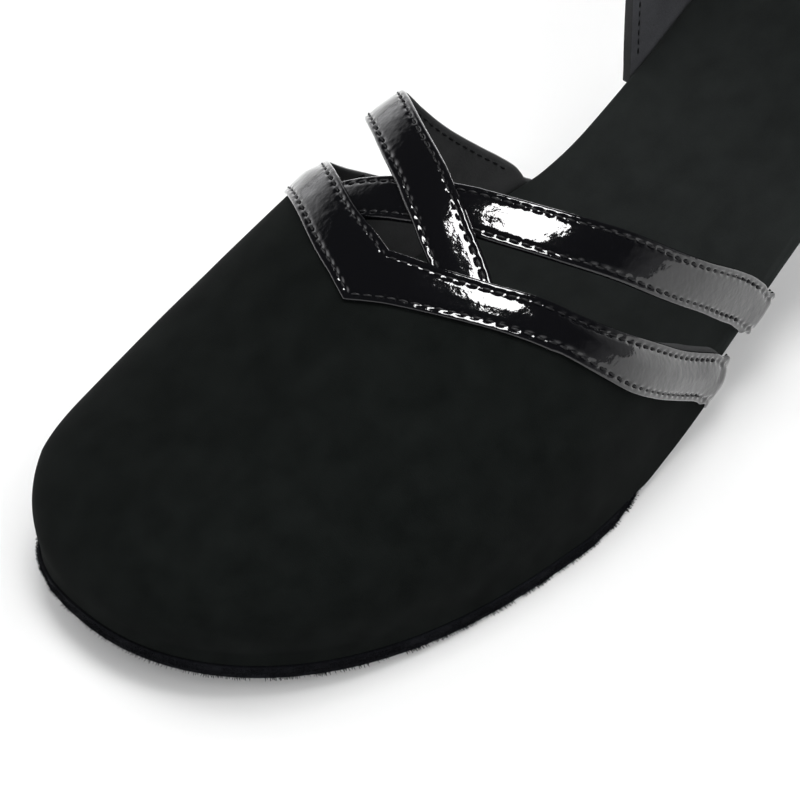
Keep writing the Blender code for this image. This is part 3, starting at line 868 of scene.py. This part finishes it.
def walkAcross(x, way, headingX, headingWay, distance):
    # Goes a distance over the foot, square to a heading.
    steps, near, turned = 6, 0.1 * mm, 0.001
    for _ in range(steps):
        alongX = (footPoint(x + near, way) - footPoint(x - near, way)) / (2 * near)
        alongWay = (footPoint(x, way + turned) - footPoint(x, way - turned)) / (2 * turned)
        heading = alongX * headingX[..., None] + alongWay * headingWay[..., None]
        square = np.cross(footNormal(x, way), heading)
        square /= np.linalg.norm(square, axis=-1, keepdims=True)
        a = np.sum(alongX * alongX, -1)
        b = np.sum(alongX * alongWay, -1)
        c = np.sum(alongWay * alongWay, -1)
        p = np.sum(square * alongX, -1)
        q = np.sum(square * alongWay, -1)
        size = a * c - b * b
        x = x + (p * c - q * b) / size * distance / steps
        way = way + (q * a - p * b) / size * distance / steps
    return x, way


def buildStrap(name, table, bowed):
    start, end = table[0][0], table[-1][0]
    flip = 1.0 if end > start else -1.0
    tail = straps["tail"] if flip > 0 else 1 - straps["tail"]
    ways = evenWays(lambda w: footPoint(strapX(table, w), w), start, tail, straps["stations"])
    x = strapX(table, ways)
    near = 0.01
    headingX = (strapX(table, ways + near * flip) - strapX(table, ways - near * flip)) / (2 * near)
    headingWay = ways * 0 + flip
    inside = np.clip(ways, 2.5 * near, 1 - 2.5 * near)
    aside = footPoint(x, inside + near) - footPoint(x, inside - near)
    slant = np.sqrt(1 + (headingX / (np.linalg.norm(aside, axis=1) / (2 * near))) ** 2)
    lift = foot["gap"] + lookUp(straps["bow"], 1, ways, mm) * bowed
    length = lengthAlong(footPoint(x, ways))
    section = strapSection(straps)
    half = straps["width"] / 2

    def overFoot(i, out, height):
        px, pw = walkAcross(x[i], ways[i], headingX[i], headingWay[i], out)
        level = ease(np.abs(ways[i] - 0.5), *straps["level"])
        px = px + (x[i] - straps["flare"] * flip * out * slant[i] - px) * level
        pw = pw + (ways[i] - pw) * level
        limit = vampTop(np.clip(pw, 0, 1)) - 2 * foot["gap"]   # it ends against the vamp
        px = np.where(px > limit, limit + straps["squeeze"] * (px - limit), px)
        normal = footNormal(px, pw)
        return footPoint(px, pw) + normal * (lift[i] + height)[..., None], normal

    def place(u, v):
        i = gridIndex(u, len(ways))
        return overFoot(i, *acrossStrap(section, v, half, length[i]))[0]

    piece = wrapGrid(name, len(ways) - 1, len(section["side"]) - 1, place, section["lining"])
    closeUp(piece)
    dress(piece, "patent", "lining")
    i = np.flatnonzero((ways > straps["sewn"][0]) & (ways < straps["sewn"][1]))
    groove = straps["thick"] - straps["groove"] + stitch["proud"]
    places = []
    for side in (-1, 1):
        for height, sign in ((groove, 1), (-stitch["clear"], -1)):
            line, normal = overFoot(i, i * 0 + side * (half - stitch["inset"]), i * 0 + height)
            places += meetPoints(line, normal * sign)
    return piece, places


def buildStraps():
    outer, outerPlaces = buildStrap("outerStrap", straps["outer"], 0.0)
    inner, innerPlaces = buildStrap("innerStrap", straps["inner"], 1.0)
    both = joinPieces([outer, inner])
    both.name = "crossStraps"
    settle(both, "patent", "patent", "lining")
    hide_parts("cross_straps")
    sewStitches("strapStitches", "patent", outerPlaces + innerPlaces)


buildStraps()
print("crossing straps made")

# Vamp

vamp = {
    "columns": 150,
    "rows": 120,
    "hem": (0.030, 0.014),    # down the insole's edge: all along, and more behind the ball
    "hemFrom": (14 * mm, 24 * mm),
    "middle": (20 * mm, 0, 10 * mm),
}


def buildVamp():
    low, more = vamp["hem"]

    def place(u, v):
        way = (1 + 2 * (low + more)) * v - (low + more)
        top = vampTop(np.clip(way, 0, 1))
        x = top + (foot["toeReach"] - top) * np.sin(u * math.pi / 2)
        hem = low + more * ease(-x, *vamp["hemFrom"])
        return footPoint(x, np.clip(way, -hem, 1 + hem))

    piece = wrapGrid("vampUpper", vamp["rows"], vamp["columns"], place)
    editAll(piece)
    bpy.ops.mesh.remove_doubles(threshold=0.01 * mm)
    bpy.ops.mesh.normals_make_consistent(inside=False)
    leaveEdit()
    turnOutwards(piece, vamp["middle"])
    dress(piece, "nubuck", "lining")
    thicken(piece, foot["vampWall"], 0).use_even_offset = True
    applyAll(piece)
    settle(piece, "nubuck", "nubuck", "lining")
    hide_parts("vamp")


buildVamp()
print("vamp made")

# Insole and outsole

insole = {
    "topRound": 1.0 * mm,
    "bottomRound": 0.3 * mm,
    "across": 9,
    "stations": 190,
    "turn": (0.02, 0.99),     # shares of the half circle that spaces them
    "least": 0.8 * mm,        # half its width at the ends
}

outsole = {
    "topRound": 0.35 * mm,
    "bottomRound": 0.5 * mm,
    "across": 7,
    "stations": 85,           # ahead of the ball, and as many behind it
    "turn": 0.012,
    "least": 1.0 * mm,
}

fibres = {
    "seed": 11,
    "tufts": 600,
    "strands": 32,            # in a tuft
    "length": (0.15 * mm, 0.75 * mm),
    "thick": 0.15 * mm,
    "lean": (-0.6, 0.6),      # along the edge and up it, as shares of the length
    "rise": (-0.9, 0.35),
    "curl": 1.6,
    "along": (-1.0, 1.0),     # where a strand stands in its tuft, mm
    "up": (-1.3, 1.1, -1.1),  # lowest, highest and likeliest
    "grow": (0.6, 1.15),
    "sink": 0.12 * mm,
    "floor": 0.05 * mm,       # no fibre goes lower
    "toe": 0.03,              # share of the quarter turn left free at the toe's end
    "waist": 0.93,            # share of the way to the heel's breast
    "middle": -10 * mm,
}


def plateSection(thick, plate):
    # Half of a plate's section from under its middle to over its middle: distance in from the
    # edge, share of the rest of the way to the middle, and how far down from the top.
    top, bottom, across = plate["topRound"], plate["bottomRound"], plate["across"]
    half = [(bottom, share, thick) for share in np.linspace(1, 0, across)]
    for angle in np.radians(np.linspace(90, 0, 5)[1:]):
        half.append((bottom * (1 - math.cos(angle)), 0.0, thick - bottom * (1 - math.sin(angle))))
    for angle in np.radians(np.linspace(0, 90, 7)):
        half.append((top * (1 - math.cos(angle)), 0.0, top * (1 - math.sin(angle))))
    return half + [(top, share, 0.0) for share in np.linspace(0, 1, across)[1:]]


def buildPlate(name, stations, halves, top, section):
    # A plate that bends along the foot only.
    rows = np.array([(1.0, *row) for row in section] + [(-1.0, *row) for row in section[-2::-1]])

    def place(u, v):
        i = gridIndex(u, len(stations))
        side, distance, share, drop = rows[gridIndex(v, len(rows))].T
        half = np.where(side < 0, halves[0][i], halves[1][i])
        y = centre(stations[i]) + side * np.maximum(half - distance, 0) * (1 - share)
        return np.stack([stations[i], y, top[i] - drop], -1)

    piece = wrapGrid(name, len(stations) - 1, len(rows) - 1, place)
    closeUp(piece, 50)
    return piece


def buildInsole():
    reach = foot["toeReach"] - foot["gap"]
    back = foot["seatReach"] - foot["gap"]
    turn = np.linspace(*insole["turn"], insole["stations"]) * math.pi
    stations = (reach - back) / 2 + (reach + back) / 2 * np.cos(turn)
    halves = [np.maximum(halfWidth(stations, side) - foot["gap"], insole["least"])
              for side in (-1, 1)]
    section = plateSection(foot["insoleThick"], insole)
    piece = buildPlate("insoleBoard", stations, halves, rise(stations), section)
    settle(piece, "insole_cover", "sock")
    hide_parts("insole")


def soleAhead(x):
    return np.clip(x / (foot["toeReach"] + soleOver), 0, 1)


def soleSides(x):
    # Half widths: it stands past the upper round the toe and is drawn in under the waist.
    tuck = foot["waistTuck"]
    drawn = column(tuck, 1, foot["soleTuck"]) + column(tuck, 2, soleOver)
    margin = smoothTable(-column(tuck, 0, foot["seatReach"]), drawn, x)
    sides = []
    for side, ball, (power, fullness) in ((-1, foot["innerBall"], foot["toeRoundInner"]),
                                          (1, foot["outerBall"], foot["toeRoundOuter"])):
        front = (ball + soleOver) * (1 - soleAhead(x) ** power) ** fullness
        wide = np.where(x > 0, front, halfWidth(x, side) + margin)
        sides.append(np.maximum(wide, outsole["least"]))
    return sides


def soleTop(x):
    return rise(x - soleOver * soleAhead(x) ** 2) - foot["insoleThick"] - foot["gap"]


def soleStations(start, ahead, back, behind):
    # Along the outsole from its toe end back past the ball.
    front = (foot["toeReach"] + soleOver) * np.cos(np.linspace(start, 1, ahead) * math.pi / 2)
    return np.concatenate([front, -np.linspace(0, back, behind)[1:]])


def buildOutsole():
    stations = soleStations(outsole["turn"], outsole["stations"],
                            foot["breastReach"] - foot["gap"], outsole["stations"])
    section = plateSection(foot["outsoleThick"], outsole)
    piece = buildPlate("suedeSole", stations, soleSides(stations), soleTop(stations), section)
    settle(piece, "sole_suede", "suede")
    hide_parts("outsole")


def makeTuft():
    strands = []
    for _ in range(fibres["strands"]):
        startPiece()
        size = random.uniform(*fibres["length"])
        bpy.ops.mesh.primitive_cone_add(vertices=3, radius1=fibres["thick"] / 2,
                                        radius2=fibres["thick"] / 3, depth=size,
                                        location=(0, 0, size / 2))
        strand = bpy.context.object
        lean = random.uniform(*fibres["lean"])
        up = random.uniform(*fibres["rise"])
        away = (random.uniform(*fibres["along"]) * mm, random.triangular(*fibres["up"]) * mm)
        for vertex in strand.data.vertices:
            curl = size * max(vertex.co.z / size, 0) ** fibres["curl"]
            vertex.co.x += away[0] + lean * curl
            vertex.co.y += away[1] + up * curl
        strands.append(strand)
    tuft = joinPieces(strands)
    bpy.ops.object.transform_apply(location=True)
    return tuft


def buildFibres():
    # One tuft, copied along the sole's edge, mirrored and sized at random.
    random.seed(fibres["seed"])
    tuft = makeTuft()
    x = soleStations(fibres["toe"], 400, fibres["waist"] * foot["breastReach"], 200)
    sides = soleSides(x)
    z = soleTop(x) - foot["outsoleThick"] / 2
    line = np.concatenate([np.stack([x, centre(x) - sides[0], z], -1)[::-1],
                           np.stack([x, centre(x) + sides[1], z], -1)])
    length = lengthAlong(line)
    turns = []
    for index in range(fibres["tufts"]):
        at = length[-1] * (index + random.random()) / fibres["tufts"]
        place = Vector(pointAt(line, length, at))
        ahead = pointAt(line, length, at + mm) - pointAt(line, length, at - mm)
        ahead = Vector(ahead).normalized()
        out = Vector((ahead.y, -ahead.x, 0)).normalized()
        if out.dot(place - Vector((fibres["middle"], 0, place.z))) < 0:
            out = -out
        grow = random.uniform(*fibres["grow"])
        mirror = (random.choice((-1, 1)), random.choice((-1, 1)), grow, 1)
        turn = axesAt(ahead, out.cross(ahead), out, place - out * fibres["sink"])
        turns.append(turn @ Matrix.Diagonal(mirror))
    fringe = stampCopies(tuft, turns)
    fringe.name = "soleFibres"
    editAll(fringe)
    bpy.ops.mesh.normals_make_consistent(inside=False)
    leaveEdit()
    for vertex in fringe.data.vertices:
        vertex.co.z = max(vertex.co.z, fibres["floor"])
    settle(fringe, "sole_suede", "suede")


buildInsole()
buildOutsole()
buildFibres()
print("insole and outsole made")

# Heel cup

cup = {
    "round": 180,
    "high": 60,
    "hem": 0.06,              # share of the rows that go down the insole's edge
    "planRound": 0.92,
    "cornerEase": 0.3,
    "centre": 0.8,            # its middle behind the ball, as a share of seatReach
    "edgeRound": 0.7 * mm,
    "middle": (-110 * mm, 0, 80 * mm),
    # rows of stitches: from the front edges and from the back seam, shares of the way round
    "frontRow": 0.005634146,
    "backRow": 0.011,
    "topRow": 1.5 * mm,
    "topFrom": 1.4,           # where it starts, in front rows
    "upFront": (0.03, 0.96),  # how far up the wall the upright rows go
    "upBack": (0.02, 0.95),
    # share of the wall's height, swell of the sides and of the back as shares of sideBulge
    "wall": (
        (0.0, 0.0, 0.0), (0.12, 0.36, 0.42), (0.3, 0.55, 0.72), (0.55, 0.3, 0.5),
        (0.8, -0.45, -0.25), (1.0, -1.15, -0.95)),
    # from a front edge (0) to the back (1), share of the rise to the back, share cut off a corner
    "top": (
        (0.0, 0.0, 0.44), (0.03, 0.0, 0.27), (0.08, 0.01, 0.11), (0.16, 0.03, 0.01),
        (0.24, 0.06, 0.0), (0.4, 0.12, 0.0), (0.6, 0.32, 0.0), (0.8, 0.72, 0.0),
        (0.93, 0.96, 0.0), (1.0, 1.0, 0.0)),
}


def cupOutline(turn):
    turn = np.clip(turn, 0, 1)
    reach = foot["seatReach"] - foot["counterReach"]
    x = -foot["counterReach"] - reach * np.sin(turn * math.pi) ** cup["planRound"]
    return np.stack([x, np.where(turn <= 0.5, -halfWidth(x, -1), halfWidth(x, 1))], -1)


def cupPoint(turn, share, out=0.0):
    # turn runs from the inner front edge (0) round the back to the outer one (1).
    step = 0.006
    plan = cupOutline(turn)
    along = cupOutline(turn + step) - cupOutline(turn - step)
    normal = np.stack([-along[..., 1], along[..., 0]], -1)
    normal /= np.linalg.norm(normal, axis=-1, keepdims=True)
    spread = plan + np.array((cup["centre"] * foot["seatReach"], 0))
    normal *= np.sign(np.sum(normal * spread, -1, keepdims=True))
    way = 1 - np.abs(turn * 2 - 1)
    extra, corner = lookUp(cup["top"], 1, way), lookUp(cup["top"], 2, way)
    extra = (foot["counterHeight"] - foot["counterSide"]) * extra
    sides, back = (lookUp(cup["wall"], k, share, foot["sideBulge"]) for k in (1, 2))
    swell = sides + (back - sides) * way**3
    swell = swell * np.sin(np.clip(way / cup["cornerEase"], 0, 1) * math.pi / 2)
    high = np.where(share < 0, foot["insoleThick"], foot["counterSide"] * (1 - corner) + extra)
    off = np.stack([swell * way + out, swell + out], -1)
    return np.concatenate([plan + normal * off, (rise(plan[..., 0]) + share * high)[..., None]],
                          -1), normal


def buildCup():
    hem = cup["hem"]

    def place(u, v):
        return cupPoint(u, np.where(v < hem, (v - hem) / hem, (v - hem) / (1 - hem)))[0]

    piece = wrapGrid("heelCup", cup["round"], cup["high"], place)
    turnOutwards(piece, cup["middle"])
    dress(piece, "nubuck", "cupLining", "lining")
    thicken(piece, foot["counterWall"], 2)
    bevelEdges(piece, cup["edgeRound"], 4, 60)
    applyAll(piece)
    settle(piece, "nubuck", "nubuck", "cupLining", "lining")
    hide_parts("counter")
    front = cup["frontRow"]
    top = np.linspace(front * cup["topFrom"], 1 - front * cup["topFrom"], 500)
    places = []
    for out, face in ((foot["counterWall"] + stitch["clear"], 1), (-stitch["clear"], -1)):
        up = np.linspace(*cup["upFront"], 120)
        rows = [cupPoint(up * 0 + turn, up, out) for turn in (front, 1 - front)]
        rows.append(cupPoint(top, top * 0 + 1 - cup["topRow"] / foot["counterSide"], out))
        if face > 0:
            up = np.linspace(*cup["upBack"], 120)
            for side in (-1, 1):
                rows.append(cupPoint(up * 0 + 0.5 + side * cup["backRow"], up, out))
        for line, normal in rows:
            flat = np.concatenate([normal, normal[:, :1] * 0], 1) * face
            places += meetPoints(line, flat)
    sewStitches("cupStitches", "nubuck", places)


buildCup()
print("heel cup made")

# Heel and its tip

heel = {
    "rounding": 2,
    "sharp": 40,              # degrees from which an edge stays crisp
    "crease": 0.9,
    "tipRound": 0.5 * mm,
}


def copyNode(node, name):
    # A copy of a node's mesh with its loose corners merged and its triangles paired.
    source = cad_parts[node]
    piece = source.copy()
    piece.data = source.data.copy()
    piece.name = name
    addObject(piece)
    editAll(piece)
    bpy.ops.mesh.remove_doubles(threshold=0.01 * mm)
    bpy.ops.mesh.tris_convert_to_quads(face_threshold=math.radians(30),
                                       shape_threshold=math.radians(60))
    leaveEdit()
    return piece


def buildHeel():
    piece = copyNode("heel", "heelBlock")
    bpy.ops.object.mode_set(mode="EDIT")
    bpy.ops.mesh.select_mode(type="EDGE")
    bpy.ops.mesh.select_all(action="DESELECT")
    bpy.ops.mesh.edges_select_sharp(sharpness=math.radians(heel["sharp"]))
    bpy.ops.transform.edge_crease(value=heel["crease"])
    leaveEdit()
    soft = piece.modifiers.new("Soft", "SUBSURF")
    soft.levels = heel["rounding"]
    soft.render_levels = heel["rounding"]
    applyAll(piece)
    settle(piece, "heel_cover", "cover")
    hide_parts("heel")
    tip = copyNode("heel_tip", "heelTip")
    bevelEdges(tip, heel["tipRound"], 3, 50)
    applyAll(tip)
    settle(tip, "tip_rubber", "rubber")
    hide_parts("heel_tip")


buildHeel()
print("heel and tip made")
